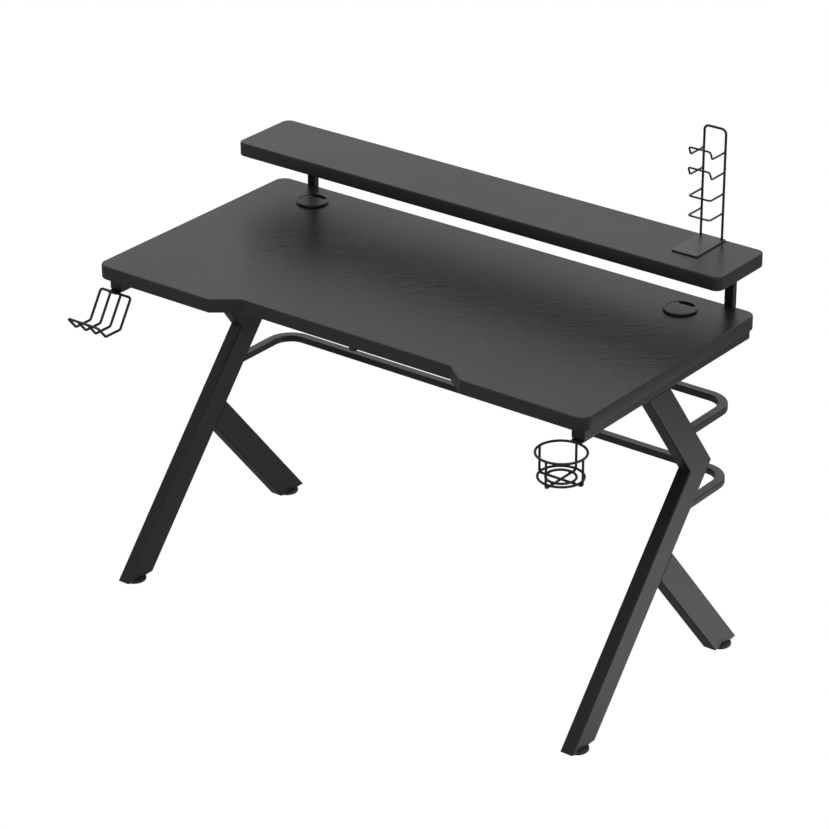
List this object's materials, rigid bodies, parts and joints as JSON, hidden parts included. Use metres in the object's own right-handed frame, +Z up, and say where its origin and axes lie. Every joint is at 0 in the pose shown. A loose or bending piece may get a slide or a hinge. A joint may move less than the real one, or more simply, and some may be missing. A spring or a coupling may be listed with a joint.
{
  "type": "gaming desk",
  "caption": "Desk with a cut-out front edge, bent side legs, a raised monitor shelf, a wire controller stand, a wire hanger and a wire cup holder.",
  "frame": {"origin": "on the floor, under the middle of the whole outline", "axes": "+X to the user's right, along the desk's width; +Y away from the user, to the back; +Z up"},
  "size_m": [1.2416, 0.7102, 1.0985],
  "materials": {
    "laminate": "black laminate with a fine embossed streak grain, semi-gloss",
    "frame_paint": "black powder coat, satin, finely pebbled",
    "wire_paint": "black powder coat, satin",
    "plastic": "black moulded plastic, satin",
    "foot_plastic": "black moulded plastic, matte",
    "screw_steel": "black oxide",
    "zinc_steel": "zinc plated",
    "insert_brass": "plain turned"
  },
  "bodies": {
    "frame": {"desktop": "laminate", "shelf": "laminate", "left_rail": "frame_paint", "right_rail": "frame_paint", "left_upper_leg": "frame_paint", "right_upper_leg": "frame_paint", "left_lower_leg": "frame_paint", "right_lower_leg": "frame_paint", "left_rear_strut": "frame_paint", "right_rear_strut": "frame_paint", "rail_end_caps": "plastic", "foot_plugs": "plastic", "upper_stretcher": "frame_paint", "lower_stretcher": "frame_paint", "stretcher_spigots": "zinc_steel", "stretcher_screws": "screw_steel", "left_shelf_post": "frame_paint", "right_shelf_post": "frame_paint", "post_foot_plates": "frame_paint", "post_head_plates": "frame_paint", "post_screws": "screw_steel", "shelf_screws": "screw_steel", "desktop_screws": "screw_steel", "desktop_inserts": "insert_brass", "shelf_inserts": "insert_brass", "left_outlet_liner": "plastic", "right_outlet_liner": "plastic", "stand_base": "frame_paint", "stand_hoop": "wire_paint", "stand_upper_hook": "wire_paint", "stand_lower_hook": "wire_paint", "stand_upper_loop": "wire_paint", "stand_lower_loop": "wire_paint", "stand_screws": "screw_steel", "hanger_plate": "frame_paint", "hanger_top_bar": "wire_paint", "hanger_outer_wire": "wire_paint", "hanger_inner_wires": "wire_paint", "cup_plate": "frame_paint", "cup_top_ring": "wire_paint", "cup_lower_ring": "wire_paint", "cup_floor_ring": "wire_paint", "cup_cross_wire": "wire_paint", "cup_side_wires": "wire_paint", "holder_screws": "screw_steel", "holder_nuts": "zinc_steel", "cable_hook": "frame_paint", "cable_hook_screw": "screw_steel"},
    "left_cap": {"left_outlet_cap": "plastic"},
    "right_cap": {"right_outlet_cap": "plastic"},
    "left_front_leveller": {"left_front_foot": "foot_plastic", "left_front_stud": "zinc_steel"},
    "left_rear_leveller": {"left_rear_foot": "foot_plastic", "left_rear_stud": "zinc_steel"},
    "right_front_leveller": {"right_front_foot": "foot_plastic", "right_front_stud": "zinc_steel"},
    "right_rear_leveller": {"right_rear_foot": "foot_plastic", "right_rear_stud": "zinc_steel"}
  },
  "joints": [
    {"name": "left_cap_turn", "type": "hinge", "parent": "frame", "child": "left_cap", "pos_m": [-0.46975, 0.25912, 0.7371], "axis": [0, 0, 1], "continuous": true},
    {"name": "right_cap_turn", "type": "hinge", "parent": "frame", "child": "right_cap", "pos_m": [0.46325, 0.25912, 0.7371], "axis": [0, 0, 1], "continuous": true},
    {"name": "left_front_level", "type": "slide", "parent": "frame", "child": "left_front_leveller", "axis": [0, 0, -1], "range_m": [0, 0.01]},
    {"name": "left_rear_level", "type": "slide", "parent": "frame", "child": "left_rear_leveller", "axis": [0, 0, -1], "range_m": [0, 0.01]},
    {"name": "right_front_level", "type": "slide", "parent": "frame", "child": "right_front_leveller", "axis": [0, 0, -1], "range_m": [0, 0.01]},
    {"name": "right_rear_level", "type": "slide", "parent": "frame", "child": "right_rear_leveller", "axis": [0, 0, -1], "range_m": [0, 0.01]}
  ]
}
